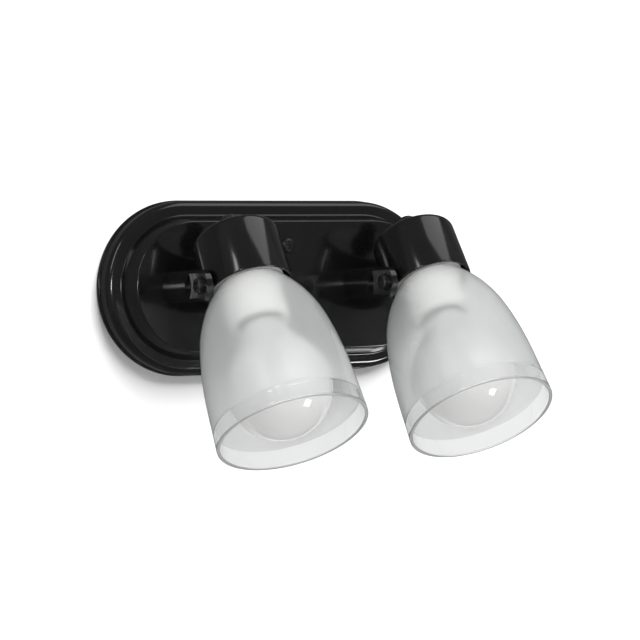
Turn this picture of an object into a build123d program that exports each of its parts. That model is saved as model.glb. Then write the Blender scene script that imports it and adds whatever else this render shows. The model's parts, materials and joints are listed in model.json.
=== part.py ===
# Pivoting spotlight wall light with two heads, in millimetres.
# The wall is the plane y = 0 and the light stands out of it along -Y. +X runs along the plate, +Z is up.
# The origin is the middle of the plate on the wall.
from build123d import *
import math
import os

os.makedirs("parts", exist_ok=True)

# ---------------------------------------------------------------- wall plate
light_spacing = 90.0          # between the centres of the plate's two round ends
plate_lip_radius = 39.5       # thin lip that lies on the wall
plate_lip_depth = 1.6
plate_body_radius = 38.7
plate_body_depth = 10.5       # the shoulder's front, from the wall
plate_shoulder_radius = 3.5   # rounding of the shoulder's front edge
panel_base_radius = 32.0      # raised centre panel where it leaves the shoulder
panel_top_radius = 29.2
panel_edge_radius = 1.0
plate_depth = 21.0            # the panel's front face, from the wall
plate_wall = 1.6

# ---------------------------------------------------------------- wall bracket and its screws
bracket_length = 100.0
bracket_width = 18.0
bracket_thickness = 1.5
wall_slot_spacing = 60.0
wall_slot_length = 12.0
wall_slot_width = 5.0
fixing_spacing = 36.0         # between the plate's two front screws, along Z
pillar_radius = 3.5
fixing_screw_radius = 2.0
fixing_head_radius = 3.2
fixing_head_height = 1.8
fixing_thread_length = 8.0    # reach of the screw into its pillar
recess_width = 0.9            # cross slots of the screw heads
recess_depth = 0.8
recess_share = 0.6            # recess radius over the head's radius
dome_share = 0.75             # share of a domed head's height that is rounded

# ---------------------------------------------------------------- terminal block and earth screw
pole_pitch = 8.0
block_height = 17.0
block_depth = 11.0
block_edge = 0.8              # chamfer round the front
tube_radius = 2.2
tube_bore_radius = 1.5
terminal_screw_radius = 1.25
terminal_screw_pitch = 9.0    # between the two screws of one pole
terminal_screw_length = 6.0
terminal_slot_width = 0.4
block_screw_radius = 1.25
block_screw_head_radius = 1.9
block_screw_head_height = 1.2
earth_screw_x = 18.6
earth_screw_radius = 2.0
earth_head_radius = 3.4
earth_head_height = 2.4
earth_washer_radius = 4.0
earth_washer_thickness = 1.0

# ---------------------------------------------------------------- arms
arm_height = 13.6
arm_crown_radius = 9.6        # roundness of the arm's outer face
arm_thickness = 4.6           # from the flat back to the crown
arm_flat_depth = 1.6          # how deep the flat for the pivot screw is cut
arm_flat_radius = 12.5        # round cutter of that flat, about the pivot
arm_edge_radius = 0.4
pivot_reach = 35.5            # from the panel's face to the pivot
arm_screw_spacing = 7.6
arm_screw_inset = 1.8         # from the arm's flat back
arm_screw_radius = 1.25
arm_screw_depth = 8.0
arm_screw_head_radius = 2.2
arm_screw_head_height = 1.6
arm_washer_radius = 2.6
arm_washer_thickness = 0.6

# ---------------------------------------------------------------- cable grommets in the panel
grommet_offset_x = 14.0       # from the centre of the plate's round end
grommet_offset_z = 12.0
grommet_hole_radius = 4.0
grommet_flange_radius = 5.2
grommet_flange_thickness = 1.0
grommet_edge_radius = 0.6
grommet_bore_radius = 2.8

# ---------------------------------------------------------------- heads
head_offset = 7.4             # head axis from the centre of the plate's round end, along X
left_rest_tilt = 31.0         # forward from straight down, degrees
right_rest_tilt = 34.0
cup_radius = 19.0
cup_length = 27.4
cup_wall = 1.2
cup_end_wall = 1.5
cup_edge_radius = 3.0         # rounding of the closed end
pivot_from_rim = 2.6          # pivot, from the cup's open end along the head axis
pad_thickness = 1.9           # thickened wall that the pivot screw is threaded in
pad_width = 10.4

pivot_screw_radius = 1.5
pivot_shoulder_radius = 2.0
pivot_head_radius = 3.2
pivot_head_height = 1.7
pivot_ring_radius = 2.1       # sunk ring in the screw's head
pivot_ring_depth = 0.5
pivot_socket_size = 2.5
pivot_socket_depth = 1.3
pivot_head_edge = 0.6
spring_washer_radius = 3.9
spring_washer_thickness = 0.5
friction_washer_radius = 5.0
friction_washer_thickness = 0.8

gland_radius = 4.0
gland_height = 9.8
gland_edge_radius = 1.4
gland_skirt_radius = 5.4
gland_skirt_height = 3.0
gland_bore_radius = 2.4
gland_stem_radius = 3.5
gland_stem_length = 9.0       # from the cup's outer face into the head
gland_nut_size = 12.0         # across flats
gland_nut_height = 2.6

seat_depth = 5.2              # seat of the glass, inside the cup's open end
holder_step = 0.5             # how far the lampholder's body is slimmer than its skirt
holder_shoulder_inset = 0.6   # shoulder's edge inside the glass's neck
holder_shoulder_thickness = 2.0
holder_skirt_length = 23.5    # from the seat
holder_bore_radius = 7.7
holder_mouth_radius = 9.6
holder_mouth_depth = 5.0
contact_radius = 3.0
contact_thickness = 0.3
screw_shell_wall = 0.4
screw_shell_start = 1.5       # from the seat
screw_shell_length = 15.0

shade_wall = 1.6
shade_neck_gap = 1.5          # between the cup's thickened wall and the glass's neck
shade_neck_length = 4.2       # straight neck below the seat
shade_flare_angle = 38.0      # how fast the glass opens below its neck
shade_shoulder_length = 16.0  # from the seat; each growth is over the neck's radius
shade_shoulder_growth = 7.8
shade_shoulder_angle = 24.0
shade_bell_length = 24.8
shade_bell_growth = 11.4
shade_bell_angle = 18.5
shade_side_length = 36.0
shade_side_growth = 13.95
shade_side_angle = 8.0
shade_length = 74.7           # from the seat to the mouth
shade_mouth_growth = 16.9
shade_mouth_angle = 2.5       # how fast the glass still opens at its mouth
shade_rim_radius = 0.7        # rounding of the mouth's two edges
ring_wall = 1.05
ring_length = 3.6

bulb_radius = 22.5            # 45 mm golf ball lamp
bulb_length = 78.0
bulb_centre_length = 53.4     # from the seat to the ball's centre
bulb_wall = 0.8
bulb_neck_radius = 8.4
bulb_neck_length = 28.4       # from the ball's centre back to the neck
bulb_neck_meets = 50.0        # where the neck runs into the ball, degrees from the axis
cap_radius = 6.9
cap_wall = 0.4
cap_length = 21.5
cap_pitch = 3.0
cap_thread_depth = 0.35
cap_crest_share = 0.35        # crest and root of a thread ring, as shares of the pitch
cap_root_share = 0.85
bulb_contact_radius = 2.4
bulb_contact_length = 1.6

# ---------------------------------------------------------------- clearances
thread_gap = 0.05             # screw in its threaded hole, and the pivot's running fit
hole_gap = 0.2                # screw or stem through a plain hole
fit_gap = 0.1                 # piece in its seat
open_gap = 0.4                # pieces that pass without touching
joint_gap = 0.05              # between the arm and the friction washer
overcut = 1.0                 # how far a cut runs past a face
plane_tolerance = 0.01        # for picking edges in a plane

# ---------------------------------------------------------------- places worked out from the sizes
panel_y = -plate_depth
inner_panel_y = panel_y + plate_wall
arc_centres = {"left": -light_spacing / 2, "right": light_spacing / 2}
rest_tilts = {"left": left_rest_tilt, "right": right_rest_tilt}
pivot_y = panel_y - pivot_reach
arm_back = head_offset - cup_radius - friction_washer_thickness - joint_gap
arm_front = arm_back - arm_thickness
arm_flat = arm_front + arm_flat_depth
arm_screw_x = arm_back - arm_screw_inset
block_length = 3 * pole_pitch + open_gap
pivot_from_end = cup_length - pivot_from_rim
holder_shoulder_at = cup_length - seat_depth
shade_neck_radius = cup_radius - pad_thickness - shade_neck_gap
holder_skirt_radius = shade_neck_radius - shade_wall - open_gap - ring_wall - thread_gap
holder_skirt_end = holder_shoulder_at + holder_skirt_length
bulb_centre_at = holder_shoulder_at + bulb_centre_length
bulb_neck_at = bulb_centre_at - bulb_neck_length
bulb_tip_at = bulb_centre_at + bulb_radius - bulb_length
cap_start = bulb_neck_at - cap_length
cap_end = bulb_neck_at - cap_pitch / 2


def stadium(radius, near, far):
    """Prism with the plate's outline, from y = -near to y = -far."""
    outline = Plane.XZ.offset(near) * SlotCenterToCenter(light_spacing, 2 * radius)
    return extrude(outline, far - near)


def raised_panel(base_radius, top_radius, near, far):
    """Stadium that narrows towards the front."""
    outline = Plane.XZ.offset(near) * SlotCenterToCenter(light_spacing, 2 * base_radius)
    slope = math.degrees(math.atan2(base_radius - top_radius, far - near))
    return extrude(outline, far - near, taper=slope)


def front_edges(solid, y):
    """Edges of a solid that lie in the plane of the given y."""
    return solid.edges().filter_by_position(Axis.Y, y - plane_tolerance, y + plane_tolerance)


def rod_y(x, z, radius, near, far):
    """Round rod along Y, from y = -near to y = -far."""
    return Pos(x, -(near + far) / 2, z) * Rot(90, 0, 0) * Cylinder(radius, abs(far - near))


def rod_x(y, z, radius, start, end):
    """Round rod along X."""
    return Pos((start + end) / 2, y, z) * Rot(0, 90, 0) * Cylinder(radius, abs(end - start))


def turned(*outline):
    """Solid turned about Z from a closed outline of (radius, distance below the cup's closed end)."""
    points = [(radius, -at) for radius, at in outline]
    return revolve(Plane.XZ * make_face(Polyline(points, close=True)), Axis.Z)


def cross_recess(radius):
    """Cross-shaped slots for a screw head that faces -Y, centred on the origin."""
    bar = Box(2 * radius, 2 * recess_depth, recess_width)
    return bar + Rot(0, 90, 0) * bar


def front_screw(x, z, seat, head_radius, head_height, radius, length):
    """Domed screw whose head rests on y = -seat and faces -Y."""
    head = rod_y(x, z, head_radius, seat, seat + head_height)
    head = fillet(front_edges(head, -seat - head_height), dome_share * head_height)
    shank = rod_y(x, z, radius, seat - length, seat)
    return head + shank - Pos(x, -seat - head_height, z) * cross_recess(recess_share * head_radius)


# ---------------------------------------------------------------- pieces fixed to the wall
def make_wall_plate():
    body = stadium(plate_body_radius, 0, plate_body_depth)
    body = fillet(front_edges(body, -plate_body_depth), plate_shoulder_radius)
    buried = plate_body_depth - plate_wall
    slope = (panel_base_radius - panel_top_radius) / (plate_depth - plate_body_depth)
    buried_radius = panel_base_radius + slope * plate_wall
    panel = raised_panel(buried_radius, panel_top_radius, buried, plate_depth)
    panel = fillet(front_edges(panel, panel_y), panel_edge_radius)
    shell = stadium(plate_lip_radius, 0, plate_lip_depth) + body + panel
    room = stadium(plate_body_radius - plate_wall, 0, buried)
    room += raised_panel(buried_radius - plate_wall, panel_top_radius - plate_wall, buried, plate_depth - plate_wall)
    shell -= room
    for z in fixing_places():
        shell -= rod_y(0, z, fixing_screw_radius + hole_gap, 0, 2 * plate_depth)
    for centre in arc_centres.values():
        for z in arm_screw_places():
            shell -= rod_y(centre + arm_screw_x, z, arm_screw_radius + hole_gap, 0, 2 * plate_depth)
        shell -= rod_y(centre + grommet_offset_x, grommet_offset_z, grommet_hole_radius, 0, 2 * plate_depth)
    return shell


def fixing_places():
    return (-fixing_spacing / 2, fixing_spacing / 2)


def arm_screw_places():
    return (-arm_screw_spacing / 2, arm_screw_spacing / 2)


def make_wall_bracket():
    upright_height = fixing_spacing + 2 * pillar_radius + 2 * bracket_thickness
    middle = Pos(0, -bracket_thickness / 2, 0)
    strap = middle * Box(bracket_length, bracket_thickness, bracket_width)
    strap += middle * Box(bracket_width, bracket_thickness, upright_height)
    strap = fillet(strap.edges().filter_by(Axis.Y), 2 * bracket_thickness)
    for side in (-1, 1):
        slot = Plane.XZ * Pos(side * wall_slot_spacing / 2, 0) * SlotOverall(wall_slot_length, wall_slot_width)
        strap -= extrude(slot, 2 * bracket_thickness, both=True)
        strap -= rod_y(side * pole_pitch / 2, 0, block_screw_radius + thread_gap, -overcut, 2 * bracket_thickness)
    strap -= rod_y(earth_screw_x, 0, earth_screw_radius + thread_gap, -overcut, 2 * bracket_thickness)
    return strap


def make_bracket_pillars():
    pillars = []
    for z in fixing_places():
        pillar = rod_y(0, z, pillar_radius, bracket_thickness, -inner_panel_y)
        depth = fixing_thread_length + fixing_screw_radius
        pillar -= rod_y(0, z, fixing_screw_radius + thread_gap, -inner_panel_y - depth, plate_depth)
        pillars.append(pillar)
    return Compound(children=pillars)


def make_fixing_screws():
    length = plate_wall + fixing_thread_length
    return Compound(children=[
        front_screw(0, z, plate_depth, fixing_head_radius, fixing_head_height, fixing_screw_radius, length)
        for z in fixing_places()
    ])


def pole_places():
    return (-pole_pitch, 0, pole_pitch)


def terminal_screw_places():
    return [(x, z) for x in pole_places() for z in (-terminal_screw_pitch / 2, terminal_screw_pitch / 2)]


block_front = bracket_thickness + block_depth
tube_y = -(bracket_thickness + block_depth / 2)


def make_terminal_block():
    block = Pos(0, tube_y, 0) * Box(block_length, block_depth, block_height)
    block = chamfer(front_edges(block, -block_front), block_edge)
    for x in pole_places():
        block -= Pos(x, tube_y, 0) * Cylinder(tube_radius + fit_gap, 2 * block_height)
    for x, z in terminal_screw_places():
        block -= rod_y(x, z, terminal_screw_radius + hole_gap, -tube_y, block_front + overcut)
    for side in (-1, 1):
        block -= rod_y(side * pole_pitch / 2, 0, block_screw_radius + thread_gap, 0, block_front + overcut)
    return block


def make_terminal_tubes():
    tubes = []
    for x in pole_places():
        tube = Pos(x, tube_y, 0) * (Cylinder(tube_radius, block_height) - Cylinder(tube_bore_radius, block_height))
        for z in (-terminal_screw_pitch / 2, terminal_screw_pitch / 2):
            tube -= rod_y(x, z, terminal_screw_radius + thread_gap, -tube_y, block_front)
        tubes.append(tube)
    return Compound(children=tubes)


def make_terminal_screws():
    screws = []
    for x, z in terminal_screw_places():
        front = -tube_y + terminal_screw_length
        screw = rod_y(x, z, terminal_screw_radius, -tube_y, front)
        screw -= Pos(x, -front, z) * Box(2 * terminal_screw_radius, recess_depth, terminal_slot_width)
        screws.append(screw)
    return Compound(children=screws)


def make_block_screws():
    length = block_depth + bracket_thickness
    return Compound(children=[
        front_screw(side * pole_pitch / 2, 0, block_front, block_screw_head_radius, block_screw_head_height,
                    block_screw_radius, length)
        for side in (-1, 1)
    ])


def make_earth_screw():
    seat = bracket_thickness + earth_washer_thickness
    screw = front_screw(earth_screw_x, 0, seat, earth_head_radius, earth_head_height, earth_screw_radius, seat)
    washer = rod_y(earth_screw_x, 0, earth_washer_radius, bracket_thickness, seat)
    return screw + washer


def arm_bar(centre):
    """Arm without its flat and holes: a flat back, a crowned outer face and a round tip about the pivot."""
    tip = arm_height / 2
    crown_x = centre + arm_front + arm_crown_radius
    length = pivot_reach + tip
    bar = Pos(crown_x, panel_y - length / 2, 0) * Rot(90, 0, 0) * Cylinder(arm_crown_radius, length)
    slab_start = centre + arm_front
    profile = rod_x(pivot_y, 0, tip, slab_start, centre + arm_back)
    profile += Pos(slab_start + arm_thickness / 2, panel_y - pivot_reach / 2, 0) * Box(
        arm_thickness, pivot_reach, arm_height)
    return bar & profile


def make_arm(centre):
    front, flat, back = centre + arm_front, centre + arm_flat, centre + arm_back
    arm = arm_bar(centre)
    long_edges = arm.edges().filter_by_position(Axis.Y, -2 * plate_depth - pivot_reach, panel_y - plane_tolerance)
    arm = fillet(long_edges.filter_by(Axis.X, reverse=True), arm_edge_radius)
    arm -= rod_x(pivot_y, 0, arm_flat_radius, front - overcut, flat)
    arm -= rod_x(pivot_y, 0, pivot_shoulder_radius + thread_gap, front - overcut, back + overcut)
    for z in arm_screw_places():
        arm -= rod_y(centre + arm_screw_x, z, arm_screw_radius + thread_gap, plate_depth - overcut,
                     plate_depth + arm_screw_depth + overcut)
    return arm


def arm_screw_positions():
    return [(centre + arm_screw_x, z) for centre in arc_centres.values() for z in arm_screw_places()]


def make_arm_screws():
    """Screws from inside the plate into the arms, heads towards the wall."""
    screws = []
    seat = -inner_panel_y - arm_washer_thickness
    for x, z in arm_screw_positions():
        screw = rod_y(x, z, arm_screw_head_radius, seat - arm_screw_head_height, seat)
        screw += rod_y(x, z, arm_screw_radius, seat, plate_depth + arm_screw_depth)
        screw -= Pos(x, -(seat - arm_screw_head_height), z) * cross_recess(recess_share * arm_screw_head_radius)
        screws.append(screw)
    return Compound(children=screws)


def make_arm_washers():
    back = -inner_panel_y - arm_washer_thickness
    return Compound(children=[
        rod_y(x, z, arm_washer_radius, back, -inner_panel_y)
        - rod_y(x, z, arm_screw_radius + hole_gap, back - overcut, plate_depth)
        for x, z in arm_screw_positions()
    ])


def make_cable_grommets():
    grommets = []
    for centre in arc_centres.values():
        x = centre + grommet_offset_x
        z = grommet_offset_z
        ring = rod_y(x, z, grommet_flange_radius, plate_depth, plate_depth + grommet_flange_thickness)
        ring = fillet(front_edges(ring, panel_y - grommet_flange_thickness), grommet_edge_radius)
        inner_face = plate_depth - plate_wall
        ring += rod_y(x, z, grommet_hole_radius - fit_gap, inner_face, plate_depth)
        ring += rod_y(x, z, grommet_flange_radius, inner_face - grommet_flange_thickness, inner_face)
        ring -= rod_y(x, z, grommet_bore_radius, 0, 2 * plate_depth)
        grommets.append(ring)
    return Compound(children=grommets)


# ---------------------------------------------------------------- pieces of a head
# Head pieces are made about Z, with the cup's closed end at z = 0 and the light shining down. The pivot
# lies at x = -head_offset before the head is set on its arm.
def make_cup():
    shell = turned((0, 0), (cup_radius, 0), (cup_radius, cup_length), (0, cup_length))
    shell = fillet(shell.edges().sort_by(Axis.Z)[-1], cup_edge_radius)
    inner = cup_radius - cup_wall
    room_end = cup_length + overcut
    room = turned((0, cup_end_wall), (inner, cup_end_wall), (inner, room_end), (0, room_end))
    room = fillet(room.edges().sort_by(Axis.Z)[-1], cup_edge_radius - cup_wall)
    pad_face = cup_radius - pad_thickness
    pad_top = pivot_from_end - pad_width / 2
    pad_length = cup_length - pad_top
    keep = Pos(-pad_face - pad_thickness, 0, -pad_top - pad_length / 2) * Box(
        2 * pad_thickness, pad_width, pad_length)
    boss = rod_x(0, -pivot_from_end, pad_width / 2, -cup_radius, -pad_face)
    boss &= Pos(0, 0, -cup_length / 2) * Box(4 * cup_radius, 4 * cup_radius, cup_length)
    cup = shell - (room - keep) + boss
    cup -= rod_x(0, -pivot_from_end, pivot_screw_radius + thread_gap, -2 * cup_radius, 0)
    cup -= Cylinder(gland_stem_radius + hole_gap, 4 * cup_end_wall)
    return cup


def make_pivot_screw():
    z = -pivot_from_end
    seat = arm_flat - head_offset - spring_washer_thickness
    head = rod_x(0, z, pivot_head_radius, seat - pivot_head_height, seat)
    head = fillet(head.edges().sort_by(Axis.X)[0], pivot_head_edge)
    face = seat - pivot_head_height
    head -= rod_x(0, z, pivot_ring_radius, face - overcut, face + pivot_ring_depth)
    socket = Plane.YZ.offset(face) * Pos(0, z) * RegularPolygon(pivot_socket_size / 2, 6, major_radius=False)
    head -= extrude(socket, pivot_socket_depth)
    shoulder = rod_x(0, z, pivot_shoulder_radius, seat, -cup_radius)
    thread = rod_x(0, z, pivot_screw_radius, -cup_radius, -cup_radius + pad_thickness)
    return head + shoulder + thread


def washer_x(radius, start, thickness):
    z = -pivot_from_end
    bore = pivot_shoulder_radius + fit_gap
    return rod_x(0, z, radius, start, start + thickness) - rod_x(0, z, bore, start - overcut, start + thickness + overcut)


def make_spring_washer():
    return washer_x(spring_washer_radius, arm_flat - head_offset - spring_washer_thickness, spring_washer_thickness)


def make_friction_washer():
    return washer_x(friction_washer_radius, -cup_radius - friction_washer_thickness, friction_washer_thickness)


def make_rear_gland():
    body = turned((0, -gland_height), (gland_radius, -gland_height), (gland_radius, -gland_skirt_height),
                  (gland_skirt_radius, -gland_skirt_height), (gland_skirt_radius, 0),
                  (gland_stem_radius, 0), (gland_stem_radius, gland_stem_length), (0, gland_stem_length))
    body = fillet(body.edges().sort_by(Axis.Z)[-1], gland_edge_radius)
    return body - Cylinder(gland_bore_radius, 4 * gland_height + 4 * gland_stem_length)


def make_gland_nut():
    outline = Plane.XY.offset(-cup_end_wall) * RegularPolygon(gland_nut_size / 2, 6, major_radius=False)
    return extrude(outline, -gland_nut_height) - Cylinder(gland_stem_radius + thread_gap, 8 * gland_nut_height)


holder_start = cup_end_wall + gland_nut_height
holder_floor = bulb_tip_at - bulb_contact_length / 2


def make_lampholder():
    shoulder_top = holder_shoulder_at - holder_shoulder_thickness
    holder_radius = holder_skirt_radius - holder_step
    shoulder_radius = shade_neck_radius - holder_shoulder_inset
    outer = turned((0, holder_start), (holder_radius, holder_start), (holder_radius, shoulder_top),
                   (shoulder_radius, shoulder_top), (shoulder_radius, holder_shoulder_at),
                   (holder_skirt_radius, holder_shoulder_at), (holder_skirt_radius, holder_skirt_end),
                   (0, holder_skirt_end))
    bore = turned((0, holder_floor), (holder_bore_radius, holder_floor),
                  (holder_bore_radius, holder_skirt_end - holder_mouth_depth),
                  (holder_mouth_radius, holder_skirt_end - holder_mouth_depth / 2),
                  (holder_mouth_radius, holder_skirt_end + overcut), (0, holder_skirt_end + overcut))
    stem_hole = turned((0, 0), (gland_stem_radius + thread_gap, 0),
                       (gland_stem_radius + thread_gap, gland_stem_length), (0, gland_stem_length))
    wire_way = turned((0, gland_stem_length), (gland_bore_radius, gland_stem_length),
                      (gland_bore_radius, holder_floor - contact_radius), (0, holder_floor - contact_radius))
    return outer - bore - stem_hole - wire_way


def make_centre_contact():
    return turned((0, holder_floor), (contact_radius, holder_floor), (contact_radius, holder_floor + contact_thickness),
                  (contact_radius / 2, bulb_tip_at), (0, bulb_tip_at))


def make_screw_shell():
    outer = holder_bore_radius - fit_gap
    inner = outer - screw_shell_wall
    start = holder_shoulder_at + screw_shell_start
    end = start + screw_shell_length
    return turned((inner, start), (outer, start), (outer, end), (inner, end))


def shade_outline(inset):
    """Spline down the glass from its straight neck to the mouth, the given distance inside its outer face."""
    flare = math.radians(shade_flare_angle)
    neck_end = holder_shoulder_at + shade_neck_length
    points = [(shade_neck_radius - inset, -neck_end - inset * math.tan(flare / 2))]
    for length, growth, angle in (
        (shade_shoulder_length, shade_shoulder_growth, shade_shoulder_angle),
        (shade_bell_length, shade_bell_growth, shade_bell_angle),
        (shade_side_length, shade_side_growth, shade_side_angle),
        (shade_length, shade_mouth_growth, 0),
    ):
        slope = math.radians(angle)
        points.append((shade_neck_radius + growth - inset * math.cos(slope),
                       -holder_shoulder_at - length - inset * math.sin(slope)))
    mouth = math.radians(shade_mouth_angle)
    ends = [(math.sin(slope), -math.cos(slope)) for slope in (flare, mouth)]
    return Spline(points, tangents=ends)


def make_glass_shade():
    outer, inner = shade_outline(0), shade_outline(shade_wall)
    seat = -holder_shoulder_at
    flange_bottom = seat - shade_wall
    hole = holder_skirt_radius + open_gap
    inner_neck = shade_neck_radius - shade_wall
    foot = Polyline(inner @ 0, (inner_neck, flange_bottom), (hole, flange_bottom), (hole, seat),
                    (shade_neck_radius, seat), outer @ 0)
    rim = Line(outer @ 1, inner @ 1)
    glass = revolve(Plane.XZ * make_face(outer + rim + inner + foot), Axis.Z)
    return fillet(glass.edges().sort_by(Axis.Z)[:2], shade_rim_radius)


def make_shade_ring():
    start = holder_shoulder_at + shade_wall
    inner = holder_skirt_radius + thread_gap
    return turned((inner, start), (inner + ring_wall, start), (inner + ring_wall, start + ring_length),
                  (inner, start + ring_length))


def bulb_profile(inset):
    """Line of the glass bulb from its neck to the tip, the given distance inside its outer face."""
    meets = math.radians(bulb_neck_meets)
    ball = bulb_radius - inset
    neck = bulb_neck_radius - inset
    joins = (ball * math.sin(meets), -bulb_centre_at + ball * math.cos(meets))
    inside_cap = cap_radius - cap_thread_depth - cap_wall - fit_gap - inset
    tail = (inside_cap, -cap_end + 2 * cap_pitch)
    stem = Polyline(tail, (inside_cap, -cap_end - fit_gap), (neck, -bulb_neck_at))
    flare = Spline((neck, -bulb_neck_at), joins, tangents=((0.3, -1), (math.cos(meets), -math.sin(meets))))
    side = math.radians((bulb_neck_meets + 180) / 2)
    through = (ball * math.sin(side), -bulb_centre_at + ball * math.cos(side))
    dome = ThreePointArc(joins, through, (0, -bulb_centre_at - ball))
    return stem + flare + dome, tail


def make_bulb_globe():
    outer, outer_tail = bulb_profile(0)
    inner, inner_tail = bulb_profile(bulb_wall)
    tip = Line((0, -bulb_centre_at - bulb_radius), (0, -bulb_centre_at - bulb_radius + bulb_wall))
    return revolve(Plane.XZ * make_face(outer + tip + inner + Line(inner_tail, outer_tail)), Axis.Z)


def make_bulb_cap():
    """Screw cap with rounded thread rings, a collar round the bulb's neck and a closed, tapered foot."""
    outline = [(0, bulb_tip_at + bulb_contact_length), (bulb_contact_radius, bulb_tip_at + bulb_contact_length),
               (cap_radius - cap_thread_depth, cap_start)]
    rings = int((cap_length - cap_pitch) / cap_pitch)
    for ring in range(rings):
        start = cap_start + ring * cap_pitch
        outline += [(cap_radius, start + cap_crest_share * cap_pitch),
                    (cap_radius - cap_thread_depth, start + cap_root_share * cap_pitch)]
    inner = cap_radius - cap_thread_depth - cap_wall
    outline += [(cap_radius, bulb_neck_at - cap_pitch), (cap_radius, cap_end), (inner, cap_end)]
    outline += [(inner, cap_start + cap_wall), (0, cap_start + cap_wall)]
    return turned(*outline)


def make_bulb_contact():
    end = bulb_tip_at + bulb_contact_length
    return turned((0, bulb_tip_at), (bulb_contact_radius / 2, bulb_tip_at), (bulb_contact_radius, end), (0, end))


head_makers = {
    "cup": make_cup,
    "pivot_screw": make_pivot_screw,
    "spring_washer": make_spring_washer,
    "friction_washer": make_friction_washer,
    "rear_gland": make_rear_gland,
    "gland_nut": make_gland_nut,
    "lampholder": make_lampholder,
    "centre_contact": make_centre_contact,
    "screw_shell": make_screw_shell,
    "glass_shade": make_glass_shade,
    "shade_ring": make_shade_ring,
    "bulb_globe": make_bulb_globe,
    "bulb_cap": make_bulb_cap,
    "bulb_contact": make_bulb_contact,
}

# ---------------------------------------------------------------- the assembly
nodes = {
    "wall_plate": make_wall_plate(),
    "wall_bracket": make_wall_bracket(),
    "bracket_pillars": make_bracket_pillars(),
    "fixing_screws": make_fixing_screws(),
    "terminal_block": make_terminal_block(),
    "terminal_tubes": make_terminal_tubes(),
    "terminal_screws": make_terminal_screws(),
    "block_screws": make_block_screws(),
    "earth_screw": make_earth_screw(),
    "arm_screws": make_arm_screws(),
    "arm_washers": make_arm_washers(),
    "cable_grommets": make_cable_grommets(),
}

head_pieces = {name: maker() for name, maker in head_makers.items()}
for side, centre in arc_centres.items():
    nodes[f"{side}_arm"] = make_arm(centre)
    on_arm = Pos(centre, pivot_y, 0) * Rot(-rest_tilts[side], 0, 0) * Pos(head_offset, 0, pivot_from_end)
    for name, piece in head_pieces.items():
        nodes[f"{side}_{name}"] = on_arm * piece

for name, solid in nodes.items():
    export_step(solid, f"parts/{name}.step")
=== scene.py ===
import json
import math

import bmesh
import bpy
from mathutils import Matrix, Vector


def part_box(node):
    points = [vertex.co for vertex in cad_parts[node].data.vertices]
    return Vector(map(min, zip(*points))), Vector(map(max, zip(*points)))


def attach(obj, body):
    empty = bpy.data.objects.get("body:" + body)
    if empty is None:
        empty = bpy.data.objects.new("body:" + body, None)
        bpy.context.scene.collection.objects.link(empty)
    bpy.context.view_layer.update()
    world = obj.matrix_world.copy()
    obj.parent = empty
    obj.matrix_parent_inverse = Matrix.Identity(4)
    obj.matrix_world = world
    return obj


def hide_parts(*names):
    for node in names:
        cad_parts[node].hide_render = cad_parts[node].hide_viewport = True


MM = 0.001
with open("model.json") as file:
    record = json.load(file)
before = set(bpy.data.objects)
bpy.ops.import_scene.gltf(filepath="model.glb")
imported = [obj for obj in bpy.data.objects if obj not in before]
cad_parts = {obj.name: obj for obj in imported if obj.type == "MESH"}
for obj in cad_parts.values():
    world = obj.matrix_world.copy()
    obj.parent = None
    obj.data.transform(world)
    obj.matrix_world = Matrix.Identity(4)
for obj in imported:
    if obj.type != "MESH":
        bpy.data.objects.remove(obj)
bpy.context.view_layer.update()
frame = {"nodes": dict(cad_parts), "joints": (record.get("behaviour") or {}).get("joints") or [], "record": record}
nodes = frame["nodes"]
SIDES = ("left", "right")
REST_TILT = {"left": 31.0, "right": 34.0}     # forward from straight down, degrees

# Sizes of the turned pieces, in millimetres below the cup's closed end and from the head's axis.
SEAT_AT = 22.2
GLASS_WALL = 1.6
GLASS_PROFILE = ((15.6, 26.4), (19.4, 31.6), (23.4, 38.2), (27.0, 47.0), (29.55, 58.2), (30.95, 68.5),
                 (31.65, 78.0), (32.1, 88.0), (32.5, 96.9))
GLASS_HOLE_RADIUS = 12.9                      # hole in the seat that the lampholder passes
CLEAR_BAND = 7.4                              # clear glass at the mouth
BAND_TAPER = 0.25                             # how much narrower the inside is where the band starts
MERGE = 0.01                                  # points closer than this to the mouth are left to the rim
BULB_RADIUS = 22.5
BULB_CENTRE_AT = 75.6
BULB_NECK_RADIUS = 8.4
BULB_NECK_AT = 47.2
BULB_MEETS = 50.0                             # where the neck runs into the ball, degrees from the axis
BULB_BEND_SHARE = 0.45                        # height of the neck's bend, as a share of its length
BULB_BEND_PULL = 0.9                          # 1 keeps the neck's curve tangent to the ball
BULB_FOOT = ((5.6, 2.5), (7.2, 1.2))          # radius and height above the neck, inside the cap
CUP_RADIUS = 19.0
CUP_LENGTH = 27.4
CUP_WALL = 1.2
CUP_END_WALL = 1.5
CUP_EDGE = 3.0                                # rounding of the closed end
GLAND_HOLE = 3.6
PIVOT_AT = 24.8

# Sizes of the wall plate, in millimetres.
SPACING = 90.0
LIP_RADIUS = 39.5
LIP_DEPTH = 1.6
BODY_RADIUS = 38.7
BODY_DEPTH = 10.5
SHOULDER_ROUND = 3.5
PANEL_BASE = 32.0
PANEL_TOP = 29.2
PANEL_ROUND = 1.0
PANEL_FOOT_ROUND = 0.8
LIP_ROUND = 0.3
LIP_FOOT_ROUND = 0.25
SMALLEST_ROUND = 0.2
PLATE_DEPTH = 21.0
PLATE_WALL = 1.6

STAGE_MIRRORED = 0.12                         # how bright the backdrop shows in the paint's gloss
STAGE_VEIL = 0.4                              # how much of it is lost through glass
WORLD_STRENGTH = 0.2
STUDIO_CENTRE = Vector((0.0, -0.05, -0.02))   # the lamps stand round this point and face it
FRONT_LAMP_RIGHT = -0.10                      # the front lamp's place beside the camera
FRONT_LAMP_UP = 0.07

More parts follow.
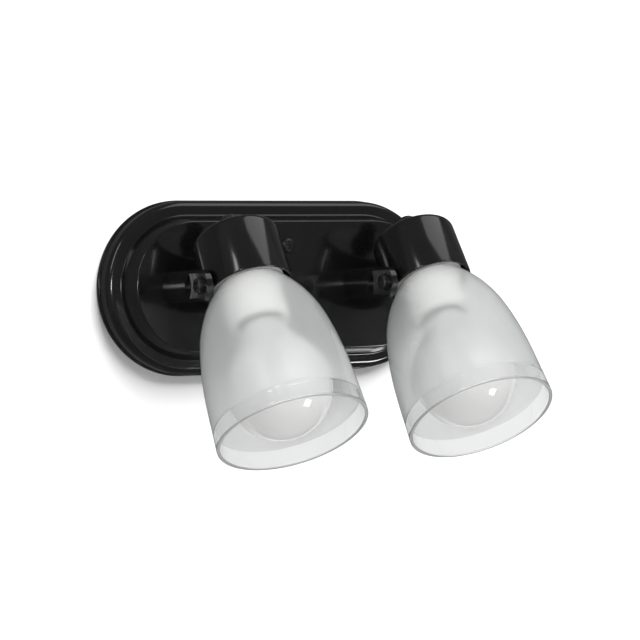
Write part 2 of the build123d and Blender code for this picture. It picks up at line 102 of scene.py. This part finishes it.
TURNED_STEPS = 128                            # faces round a turned piece
GLASS_STEPS = 160
ROUND_STEPS = 8                               # faces along a rounded edge
NECK_STEPS = 12
BALL_STEPS = 48
PLATE_END_STEPS = 96                          # faces round one end of the plate


# ---------------------------------------------------------------- camera
# Fitted to the photograph: where the camera stands, in degrees and metres, and where its axis meets the
# image, in pixels.
IMAGE_SIZE = 640
CAMERA_AZIMUTH = 28.18
CAMERA_ELEVATION = -0.18
CAMERA_ROLL = -1.6
CAMERA_DISTANCE = 0.980
CAMERA_AIM = Vector((0.02686, 0.0, -0.01767))
FOCAL_PIXELS = 2102.4
AXIS_PIXEL = (320.3, 323.4)
SENSOR_WIDTH = 36.0


def make_camera():
    azimuth = math.radians(CAMERA_AZIMUTH)
    elevation = math.radians(CAMERA_ELEVATION)
    roll = math.radians(CAMERA_ROLL)
    forward = Vector((math.sin(azimuth) * math.cos(elevation), math.cos(azimuth) * math.cos(elevation),
                      math.sin(elevation)))
    level_right = Vector((math.cos(azimuth), -math.sin(azimuth), 0.0))
    level_up = level_right.cross(forward)
    right = math.cos(roll) * level_right + math.sin(roll) * level_up
    up = -math.sin(roll) * level_right + math.cos(roll) * level_up
    data = bpy.data.cameras.new("camera")
    data.sensor_width = SENSOR_WIDTH
    data.lens = FOCAL_PIXELS * SENSOR_WIDTH / IMAGE_SIZE
    data.shift_x = (IMAGE_SIZE / 2 - AXIS_PIXEL[0]) / IMAGE_SIZE
    data.shift_y = (AXIS_PIXEL[1] - IMAGE_SIZE / 2) / IMAGE_SIZE
    data.clip_start = 0.01
    data.clip_end = 20.0
    camera = bpy.data.objects.new("camera", data)
    bpy.context.scene.collection.objects.link(camera)
    turn = Matrix((right, up, -forward)).transposed().to_4x4()
    camera.matrix_world = Matrix.Translation(CAMERA_AIM - CAMERA_DISTANCE * forward) @ turn
    bpy.context.scene.camera = camera
    return forward, right, up


# ---------------------------------------------------------------- materials
def new_material(name):
    material = bpy.data.materials.new(name)
    material.use_nodes = True
    tree = material.node_tree
    return material, tree, tree.nodes["Principled BSDF"]


def add_node(tree, kind, **values):
    node = tree.nodes.new(kind)
    for name, value in values.items():
        node.inputs[name.replace("_", " ")].default_value = value
    return node


def noise(tree, scale, detail=3.0, roughness=0.5):
    where = tree.nodes.new("ShaderNodeTexCoord")
    pattern = add_node(tree, "ShaderNodeTexNoise", Scale=scale, Detail=detail, Roughness=roughness)
    tree.links.new(where.outputs["Object"], pattern.inputs["Vector"])
    return pattern.outputs["Fac"]


def spread(tree, value, low, high):
    """Maps a noise value to the range low to high."""
    mapped = add_node(tree, "ShaderNodeMapRange", From_Min=0.3, From_Max=0.7, To_Min=low, To_Max=high)
    tree.links.new(value, mapped.inputs["Value"])
    return mapped.outputs["Result"]


def bump(tree, shader, height, strength, distance):
    node = add_node(tree, "ShaderNodeBump", Strength=strength, Distance=distance)
    tree.links.new(height, node.inputs["Height"])
    tree.links.new(node.outputs["Normal"], shader.inputs["Normal"])


def two_tones(tree, shader, value, dark, light):
    ramp = tree.nodes.new("ShaderNodeValToRGB")
    ramp.color_ramp.elements[0].position = 0.35
    ramp.color_ramp.elements[1].position = 0.65
    ramp.color_ramp.elements[0].color = (*dark, 1.0)
    ramp.color_ramp.elements[1].color = (*light, 1.0)
    tree.links.new(value, ramp.inputs["Fac"])
    tree.links.new(ramp.outputs["Color"], shader.inputs["Base Color"])


def black_paint():
    """Sprayed gloss enamel: nearly black, with fine orange peel and faint smears in its shine."""
    material, tree, shader = new_material("black_paint")
    two_tones(tree, shader, noise(tree, 60.0), (0.0045, 0.0045, 0.0048), (0.0062, 0.0062, 0.0065))
    tree.links.new(spread(tree, noise(tree, 25.0, 4.0), 0.12, 0.18), shader.inputs["Roughness"])
    shader.inputs["Specular IOR Level"].default_value = 0.5
    shader.inputs["Coat Weight"].default_value = 0.3
    shader.inputs["Coat Roughness"].default_value = 0.07
    bump(tree, shader, noise(tree, 700.0, 1.0), 0.05, 0.0001)
    return material


def black_steel():
    """Blackened screws and washers."""
    material, tree, shader = new_material("black_steel")
    two_tones(tree, shader, noise(tree, 900.0), (0.05, 0.05, 0.052), (0.11, 0.11, 0.112))
    tree.links.new(spread(tree, noise(tree, 1500.0), 0.22, 0.38), shader.inputs["Roughness"])
    shader.inputs["Metallic"].default_value = 0.85
    bump(tree, shader, noise(tree, 2500.0, 2.0), 0.1, 0.0001)
    return material


def zinc_steel():
    material, tree, shader = new_material("zinc_steel")
    two_tones(tree, shader, noise(tree, 300.0), (0.50, 0.51, 0.53), (0.66, 0.66, 0.65))
    tree.links.new(spread(tree, noise(tree, 500.0), 0.25, 0.42), shader.inputs["Roughness"])
    shader.inputs["Metallic"].default_value = 1.0
    bump(tree, shader, noise(tree, 1200.0, 2.0), 0.08, 0.0001)
    return material


def brass():
    material, tree, shader = new_material("brass")
    two_tones(tree, shader, noise(tree, 400.0), (0.58, 0.42, 0.18), (0.74, 0.57, 0.28))
    tree.links.new(spread(tree, noise(tree, 700.0), 0.22, 0.4), shader.inputs["Roughness"])
    shader.inputs["Metallic"].default_value = 1.0
    return material


def nickel():
    material, tree, shader = new_material("nickel")
    two_tones(tree, shader, noise(tree, 400.0), (0.62, 0.61, 0.58), (0.74, 0.73, 0.70))
    tree.links.new(spread(tree, noise(tree, 600.0), 0.12, 0.25), shader.inputs["Roughness"])
    shader.inputs["Metallic"].default_value = 1.0
    return material


def white_plastic():
    material, tree, shader = new_material("white_plastic")
    two_tones(tree, shader, noise(tree, 150.0), (0.84, 0.84, 0.82), (0.88, 0.88, 0.86))
    tree.links.new(spread(tree, noise(tree, 800.0), 0.35, 0.5), shader.inputs["Roughness"])
    bump(tree, shader, noise(tree, 3000.0, 2.0), 0.08, 0.0001)
    return material


def dark_moulding(name, roughness):
    """Black plastic or rubber with a fine moulded grain."""
    material, tree, shader = new_material(name)
    two_tones(tree, shader, noise(tree, 500.0), (0.012, 0.012, 0.012), (0.022, 0.022, 0.022))
    uneven = spread(tree, noise(tree, 900.0), roughness - 0.06, roughness + 0.08)
    tree.links.new(uneven, shader.inputs["Roughness"])
    bump(tree, shader, noise(tree, 4000.0, 2.0), 0.2, 0.0001)
    return material


def lets_light_in(tree, shader, share):
    """Lets the given share of lamp light straight through, so that what stands behind the glass is lit."""
    path = tree.nodes.new("ShaderNodeLightPath")
    scale = tree.nodes.new("ShaderNodeMath")
    scale.operation = "MULTIPLY"
    scale.inputs[1].default_value = share
    clear = tree.nodes.new("ShaderNodeBsdfTransparent")
    mix = tree.nodes.new("ShaderNodeMixShader")
    tree.links.new(path.outputs["Is Shadow Ray"], scale.inputs[0])
    tree.links.new(scale.outputs["Value"], mix.inputs["Fac"])
    tree.links.new(shader.outputs["BSDF"], mix.inputs[1])
    tree.links.new(clear.outputs["BSDF"], mix.inputs[2])
    tree.links.new(mix.outputs["Shader"], tree.nodes["Material Output"].inputs["Surface"])


def clear_glass():
    material, tree, shader = new_material("clear_glass")
    shader.inputs["Base Color"].default_value = (0.97, 0.98, 0.98, 1.0)
    shader.inputs["Transmission Weight"].default_value = 1.0
    shader.inputs["IOR"].default_value = 1.5
    tree.links.new(spread(tree, noise(tree, 40.0), 0.01, 0.02), shader.inputs["Roughness"])
    lets_light_in(tree, shader, 0.92)
    return material


def frosted_glass():
    """Inside face and ground rim of the shade, etched white: light gets through it scattered."""
    material, tree, shader = new_material("frosted_glass")
    two_tones(tree, shader, noise(tree, 25.0, 1.0), (0.86, 0.865, 0.865), (0.87, 0.875, 0.875))
    shader.inputs["Transmission Weight"].default_value = 0.64
    shader.inputs["IOR"].default_value = 1.45
    tree.links.new(spread(tree, noise(tree, 20.0, 1.0), 0.245, 0.265), shader.inputs["Roughness"])
    lets_light_in(tree, shader, 0.72)
    return material


def opal_glass():
    material, tree, shader = new_material("opal_glass")
    two_tones(tree, shader, noise(tree, 30.0), (0.65, 0.65, 0.645), (0.67, 0.67, 0.665))
    shader.inputs["Roughness"].default_value = 0.06
    shader.inputs["Subsurface Weight"].default_value = 0.25
    shader.inputs["Subsurface Radius"].default_value = (0.004, 0.004, 0.004)
    shader.inputs["Subsurface Scale"].default_value = 1.0
    shader.inputs["Coat Weight"].default_value = 0.3
    shader.inputs["Coat Roughness"].default_value = 0.03
    bump(tree, shader, noise(tree, 35.0, 1.0), 0.03, 0.001)
    return material


MATERIALS = {
    "black_paint": black_paint(),
    "black_steel": black_steel(),
    "zinc_steel": zinc_steel(),
    "brass": brass(),
    "nickel": nickel(),
    "white_plastic": white_plastic(),
    "black_plastic": dark_moulding("black_plastic", 0.4),
    "black_rubber": dark_moulding("black_rubber", 0.65),
    "frosted_glass": frosted_glass(),
    "clear_glass": clear_glass(),
    "opal_glass": opal_glass(),
}


def dress_cad_nodes():
    """Gives each CAD node the full material of its slot."""
    for part in frame["record"]["subparts"]:
        node = nodes[part["node"]]
        node.data.materials.clear()
        node.data.materials.append(MATERIALS[part["material_slot"]])


# ---------------------------------------------------------------- turned pieces
def smooth_line(points, steps):
    """Catmull-Rom line through (radius, distance) points."""
    ends = (points[0], *points, points[-1])
    line = []
    for before, start, end, after in zip(ends, ends[1:], ends[2:], ends[3:]):
        for step in range(steps):
            t = step / steps
            line.append(tuple(
                0.5 * (2 * b + (c - a) * t + (2 * a - 5 * b + 4 * c - d) * t * t
                       + (3 * b - a - 3 * c + d) * t ** 3)
                for a, b, c, d in zip(before, start, end, after)
            ))
    line.append(points[-1])
    return line


def arc(centre, radius, start, end, steps):
    """Points on a circle in (radius, distance), angles in degrees from the head axis' upper end."""
    turns = [math.radians(start + (end - start) * step / steps) for step in range(steps + 1)]
    return [(centre[0] + radius * math.sin(turn), centre[1] - radius * math.cos(turn)) for turn in turns]


def head_place(side):
    """From a head's own frame, with the cup's closed end at the origin, to its place at rest."""
    joint = next(joint for joint in frame["joints"] if joint["child"] == f"{side}_head")
    pivot = Vector(joint["pos_m"])
    cup_low, cup_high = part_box(f"{side}_cup")
    axis_x = (cup_low.x + cup_high.x) / 2
    tilt = Matrix.Rotation(-math.radians(REST_TILT[side]), 4, "X")
    return Matrix.Translation((axis_x, pivot.y, pivot.z)) @ tilt @ Matrix.Translation((0, 0, PIVOT_AT * MM))


def lathe(name, side, outline, materials, segments=TURNED_STEPS, closed=False, face_material=None):
    """Turns (radius, distance) points, in millimetres, about the head's axis; the piece rides on the head."""
    shape = bmesh.new()
    rings = []
    for radius, at in outline:
        if radius < 1e-6:
            rings.append([shape.verts.new((0.0, 0.0, -at * MM))])
            continue
        ring = []
        for step in range(segments):
            turn = 2 * math.pi * step / segments
            place = (radius * MM * math.cos(turn), radius * MM * math.sin(turn), -at * MM)
            ring.append(shape.verts.new(place))
        rings.append(ring)
    pairs = list(zip(rings, rings[1:]))
    if closed:
        pairs.append((rings[-1], rings[0]))
    for index, (upper, lower) in enumerate(pairs):
        for step in range(segments):
            after = (step + 1) % segments
            corners = [upper[step % len(upper)], lower[step % len(lower)], lower[after % len(lower)],
                       upper[after % len(upper)]]
            corners = list(dict.fromkeys(corners))
            if len(corners) < 3:
                continue
            face = shape.faces.new(corners)
            face.smooth = True
            face.material_index = face_material(index) if face_material else 0
    bmesh.ops.recalc_face_normals(shape, faces=shape.faces)
    mesh = bpy.data.meshes.new(name)
    shape.to_mesh(mesh)
    shape.free()
    mesh.transform(head_place(side))
    mesh.set_sharp_from_angle(angle=math.radians(35))
    for material in materials:
        mesh.materials.append(MATERIALS[material])
    piece = bpy.data.objects.new(name, mesh)
    bpy.context.scene.collection.objects.link(piece)
    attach(piece, f"{side}_head")
    return piece


def make_cup(side):
    """Spun cup with a rounded closed end and a rounded open rim."""
    edge_centre = (CUP_RADIUS - CUP_EDGE, CUP_EDGE)
    rim_centre = (CUP_RADIUS - CUP_WALL / 2, CUP_LENGTH - CUP_WALL / 2)
    outer_edge = arc(edge_centre, CUP_EDGE, 0, 90, ROUND_STEPS)
    rim = arc(rim_centre, CUP_WALL / 2, 90, 270, ROUND_STEPS)
    inner_edge = arc(edge_centre, CUP_EDGE - CUP_WALL, 90, 0, ROUND_STEPS)
    inside = inner_edge + [(GLAND_HOLE, CUP_END_WALL), (GLAND_HOLE, 0.0)]
    piece = lathe(f"{side}_cup_shell", side, outer_edge + rim + inside, ("black_paint",), closed=True)
    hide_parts(f"{side}_cup")


def make_glass(side):
    """Shade with a ground, rounded rim, a flat seat and its inside frosted down to a clear band."""
    outer = smooth_line(GLASS_PROFILE, ROUND_STEPS)
    mouth_radius, mouth_at = outer[-1]
    inner = [(radius - GLASS_WALL, at) for radius, at in reversed(outer)]
    frost_ends = mouth_at - CLEAR_BAND
    rim = arc((mouth_radius - GLASS_WALL / 2, mouth_at), GLASS_WALL / 2, 90, 270, ROUND_STEPS)
    neck = (outer[0][0], SEAT_AT)
    seat = [(GLASS_HOLE_RADIUS, SEAT_AT + GLASS_WALL), (GLASS_HOLE_RADIUS, SEAT_AT), neck]
    outer_line = [point for point in outer if point[1] < mouth_at - MERGE]
    inner_line = [point for point in inner if point[1] < mouth_at - MERGE]
    split = next(index for index, point in enumerate(inner_line) if point[1] < frost_ends)
    inner_line.insert(split, (mouth_radius - GLASS_WALL - BAND_TAPER, frost_ends))
    outline = outer_line + rim + inner_line + seat
    ground_rim = range(len(outer_line), len(outer_line) + len(rim) - 1)
    first_frosted = len(outer_line) + len(rim) + split
    frosted = range(first_frosted, len(outer_line) + len(rim) + len(inner_line))
    piece = lathe(f"{side}_glass", side, outline, ("clear_glass", "frosted_glass"), segments=GLASS_STEPS,
                  closed=True, face_material=lambda index: int(index in frosted or index in ground_rim))
    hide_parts(f"{side}_glass_shade")
    return piece


def make_bulb(side):
    """Opal ball lamp, with a neck that swells into the ball."""
    turn = math.radians(BULB_MEETS)
    joins = (BULB_RADIUS * math.sin(turn), BULB_CENTRE_AT - BULB_RADIUS * math.cos(turn))
    rise = BULB_BEND_SHARE * (joins[1] - BULB_NECK_AT)
    bend = (joins[0] - rise * math.cos(turn) / math.sin(turn) * BULB_BEND_PULL, joins[1] - rise)
    start = (BULB_NECK_RADIUS, BULB_NECK_AT)
    flare = []
    for step in range(NECK_STEPS + 1):
        t = step / NECK_STEPS
        flare.append(tuple((1 - t) ** 2 * a + 2 * t * (1 - t) * b + t * t * c
                           for a, b, c in zip(start, bend, joins)))
    ball = arc((0.0, BULB_CENTRE_AT), BULB_RADIUS, BULB_MEETS, 180, BALL_STEPS)
    neck = [(radius, BULB_NECK_AT - above) for radius, above in BULB_FOOT]
    outline = neck + flare + ball[1:-1] + [(0.0, BULB_CENTRE_AT + BULB_RADIUS)]
    piece = lathe(f"{side}_bulb", side, outline, ("opal_glass",))
    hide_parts(f"{side}_bulb_globe")


# ---------------------------------------------------------------- wall plate
def corner(centre, radius, start, end, steps):
    """Points of a profile's rounded corner as (radius, depth), angles in degrees."""
    turns = [math.radians(start + (end - start) * step / steps) for step in range(steps + 1)]
    return [(centre[0] + radius * math.cos(turn), centre[1] + radius * math.sin(turn)) for turn in turns]


def plate_profile(inset):
    """Profile of the plate from the wall to its front face, the given distance inside the outer surface."""
    slope = math.degrees(math.atan2(PANEL_BASE - PANEL_TOP, PLATE_DEPTH - BODY_DEPTH))
    shoulder = SHOULDER_ROUND - inset
    edge = max(PANEL_ROUND - inset, SMALLEST_ROUND)
    lift = edge * math.tan(math.radians((90 - slope) / 2))
    body = BODY_RADIUS - inset
    line = [(LIP_RADIUS - inset, 0.0)]
    if inset == 0.0:
        line += [(LIP_RADIUS, LIP_DEPTH - LIP_ROUND)]
        line += corner((LIP_RADIUS - LIP_ROUND, LIP_DEPTH - LIP_ROUND), LIP_ROUND, 0, 90, 4)[1:]
        line += corner((body + LIP_FOOT_ROUND, LIP_DEPTH + LIP_FOOT_ROUND), LIP_FOOT_ROUND, 270, 180, 4)
    else:
        line += [(body, 0.0)]
    line += corner((body - shoulder, BODY_DEPTH - inset - shoulder), shoulder, 0, 90, 14)
    foot_centre = (PANEL_BASE - inset + PANEL_FOOT_ROUND, BODY_DEPTH - inset + PANEL_FOOT_ROUND)
    line += corner(foot_centre, PANEL_FOOT_ROUND, 270, 180 + slope, 5)
    line += corner((PANEL_TOP - inset - lift, PLATE_DEPTH - inset - edge), edge, slope, 90, 10)
    return line


def make_plate():
    """Pressed plate: one profile swept round the outline, with a flat front and an open back."""
    outline = plate_profile(0.0) + list(reversed(plate_profile(PLATE_WALL)))
    front = len(plate_profile(0.0)) - 1
    half = SPACING / 2
    shape = bmesh.new()
    rings = []
    for radius, depth in outline:
        ring = []
        for centre, start in ((half, 90.0), (-half, 270.0)):
            for step in range(PLATE_END_STEPS + 1):
                turn = math.radians(start - 180.0 * step / PLATE_END_STEPS)
                ring.append(shape.verts.new(((centre + radius * math.cos(turn)) * MM, -depth * MM,
                                             radius * math.sin(turn) * MM)))
        rings.append(ring)
    count = len(rings[0])
    for index in range(len(rings)):
        if index == front:
            continue
        near, far = rings[index], rings[(index + 1) % len(rings)]
        for step in range(count):
            after = (step + 1) % count
            shape.faces.new((near[step], near[after], far[after], far[step]))
    shape.faces.new(rings[front])
    shape.faces.new(list(reversed(rings[front + 1])))
    bmesh.ops.recalc_face_normals(shape, faces=shape.faces)
    for face in shape.faces:
        face.smooth = True
    mesh = bpy.data.meshes.new("plate_shell")
    shape.to_mesh(mesh)
    shape.free()
    mesh.set_sharp_from_angle(angle=math.radians(30))
    mesh.materials.append(MATERIALS["black_paint"])
    piece = bpy.data.objects.new("plate_shell", mesh)
    bpy.context.scene.collection.objects.link(piece)
    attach(piece, "wall_mount")
    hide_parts("wall_plate")
    return piece


# ---------------------------------------------------------------- studio
def make_stage_material(name, colour, mirrored):
    """Pale matt surface that shows as a dim grey in the paint's gloss, and a little darker through glass."""
    material, tree, shader = new_material(name)
    shader.inputs["Base Color"].default_value = (colour, colour, colour, 1.0)
    shader.inputs["Roughness"].default_value = 0.9
    shader.inputs["Specular IOR Level"].default_value = 0.0
    dim = tree.nodes.new("ShaderNodeEmission")
    dim.inputs["Strength"].default_value = mirrored
    path = tree.nodes.new("ShaderNodeLightPath")
    mirror_only = tree.nodes.new("ShaderNodeMath")
    mirror_only.operation = "SUBTRACT"
    mirror_only.use_clamp = True
    veil = tree.nodes.new("ShaderNodeMath")
    veil.operation = "MULTIPLY_ADD"
    veil.inputs[1].default_value = STAGE_VEIL
    mix = tree.nodes.new("ShaderNodeMixShader")
    tree.links.new(path.outputs["Is Glossy Ray"], mirror_only.inputs[0])
    tree.links.new(path.outputs["Is Transmission Ray"], mirror_only.inputs[1])
    tree.links.new(path.outputs["Is Transmission Ray"], veil.inputs[0])
    tree.links.new(mirror_only.outputs["Value"], veil.inputs[2])
    tree.links.new(veil.outputs["Value"], mix.inputs["Fac"])
    tree.links.new(shader.outputs["BSDF"], mix.inputs[1])
    tree.links.new(dim.outputs["Emission"], mix.inputs[2])
    tree.links.new(mix.outputs["Shader"], tree.nodes["Material Output"].inputs["Surface"])
    return material


def make_backdrop():
    """The wall behind the light, and a floor far below it."""
    wall_y = 0.0003
    half_width, top, floor_z, reach = 3.0, 2.4, -1.2, 3.0
    stage = []
    for name, corners in (
        ("backdrop_wall", ((-half_width, wall_y, floor_z), (half_width, wall_y, floor_z),
                           (half_width, wall_y, top), (-half_width, wall_y, top))),
        ("backdrop_floor", ((-half_width, wall_y - reach, floor_z), (half_width, wall_y - reach, floor_z),
                            (half_width, wall_y, floor_z), (-half_width, wall_y, floor_z))),
    ):
        mesh = bpy.data.meshes.new(name)
        mesh.from_pydata(corners, [], [(0, 1, 2, 3)])
        mesh.materials.append(make_stage_material(name, 0.85, STAGE_MIRRORED))
        sheet = bpy.data.objects.new(name, mesh)
        bpy.context.scene.collection.objects.link(sheet)
        stage.append(sheet)
    return stage


def add_softbox(name, direction, distance, width, height, power):
    """Rectangular lamp facing the studio's centre, in metres and watts."""
    data = bpy.data.lights.new(name, "AREA")
    data.shape = "RECTANGLE"
    data.size = width
    data.size_y = height
    data.energy = power
    lamp = bpy.data.objects.new(name, data)
    bpy.context.scene.collection.objects.link(lamp)
    away = Vector(direction).normalized()
    lamp.location = STUDIO_CENTRE + distance * away
    lamp.rotation_euler = away.to_track_quat("Z", "Y").to_euler()
    return lamp


def gather(name, pieces, link_state):
    """Group of pieces that a lamp lights or leaves out."""
    group = bpy.data.collections.new(name)
    for piece in pieces:
        group.objects.link(piece)
    for member in group.collection_objects:
        member.light_linking.link_state = link_state
    return group


def make_lights(forward, right, up, stage, plate, shades):
    """Soft lamps on the light alone, the upper one not on the glass, and one lamp for the stage."""
    beside_camera = -forward + FRONT_LAMP_RIGHT * right + FRONT_LAMP_UP * up
    key = add_softbox("key", (-0.05, -0.80, 0.60), 1.6, 1.0, 1.0, 9.5)
    key.visible_glossy = False
    top = add_softbox("top", (0.47, -0.18, 0.87), 1.4, 1.3, 0.8, 4.5)
    lamps = [
        key,
        add_softbox("window", (0.55, -0.68, -0.49), 1.3, 0.30, 0.24, 5.2),
        add_softbox("front", beside_camera, 1.3, 0.16, 0.16, 2.0),
        add_softbox("left_strip", (-0.75, -0.42, 0.50), 1.4, 0.15, 0.6, 1.6),
    ]
    off_stage = gather("off_stage", stage, "EXCLUDE")
    for lamp in lamps:
        lamp.light_linking.receiver_collection = off_stage
    top.light_linking.receiver_collection = gather("off_stage_and_shades", stage + shades, "EXCLUDE")
    wash = add_softbox("wall_wash", (0.35, -1.0, 1.1), 1.7, 1.1, 1.4, 66.0)
    wash.visible_glossy = False
    wash.light_linking.receiver_collection = gather("on_stage", stage, "INCLUDE")
    wash.light_linking.blocker_collection = gather("shades_stage", [plate], "INCLUDE")


def make_world():
    """Dim fill light from all round, that the camera itself sees as white past the backdrop's edges."""
    world = bpy.data.worlds.new("world")
    world.use_nodes = True
    tree = world.node_tree
    path = tree.nodes.new("ShaderNodeLightPath")
    strength = add_node(tree, "ShaderNodeMapRange", To_Min=WORLD_STRENGTH, To_Max=1.0)
    background = tree.nodes["Background"]
    background.inputs["Color"].default_value = (1.0, 1.0, 1.0, 1.0)
    tree.links.new(path.outputs["Is Camera Ray"], strength.inputs["Value"])
    tree.links.new(strength.outputs["Result"], background.inputs["Strength"])
    bpy.context.scene.world = world


# ---------------------------------------------------------------- the scene
bpy.context.scene.view_settings.view_transform = "Standard"
camera_forward, camera_right, camera_up = make_camera()
dress_cad_nodes()
plate_shell = make_plate()
glass_shades = []
for head_side in SIDES:
    make_cup(head_side)
    glass_shades.append(make_glass(head_side))
    make_bulb(head_side)
stage_sheets = make_backdrop()
make_lights(camera_forward, camera_right, camera_up, stage_sheets, plate_shell, glass_shades)
make_world()
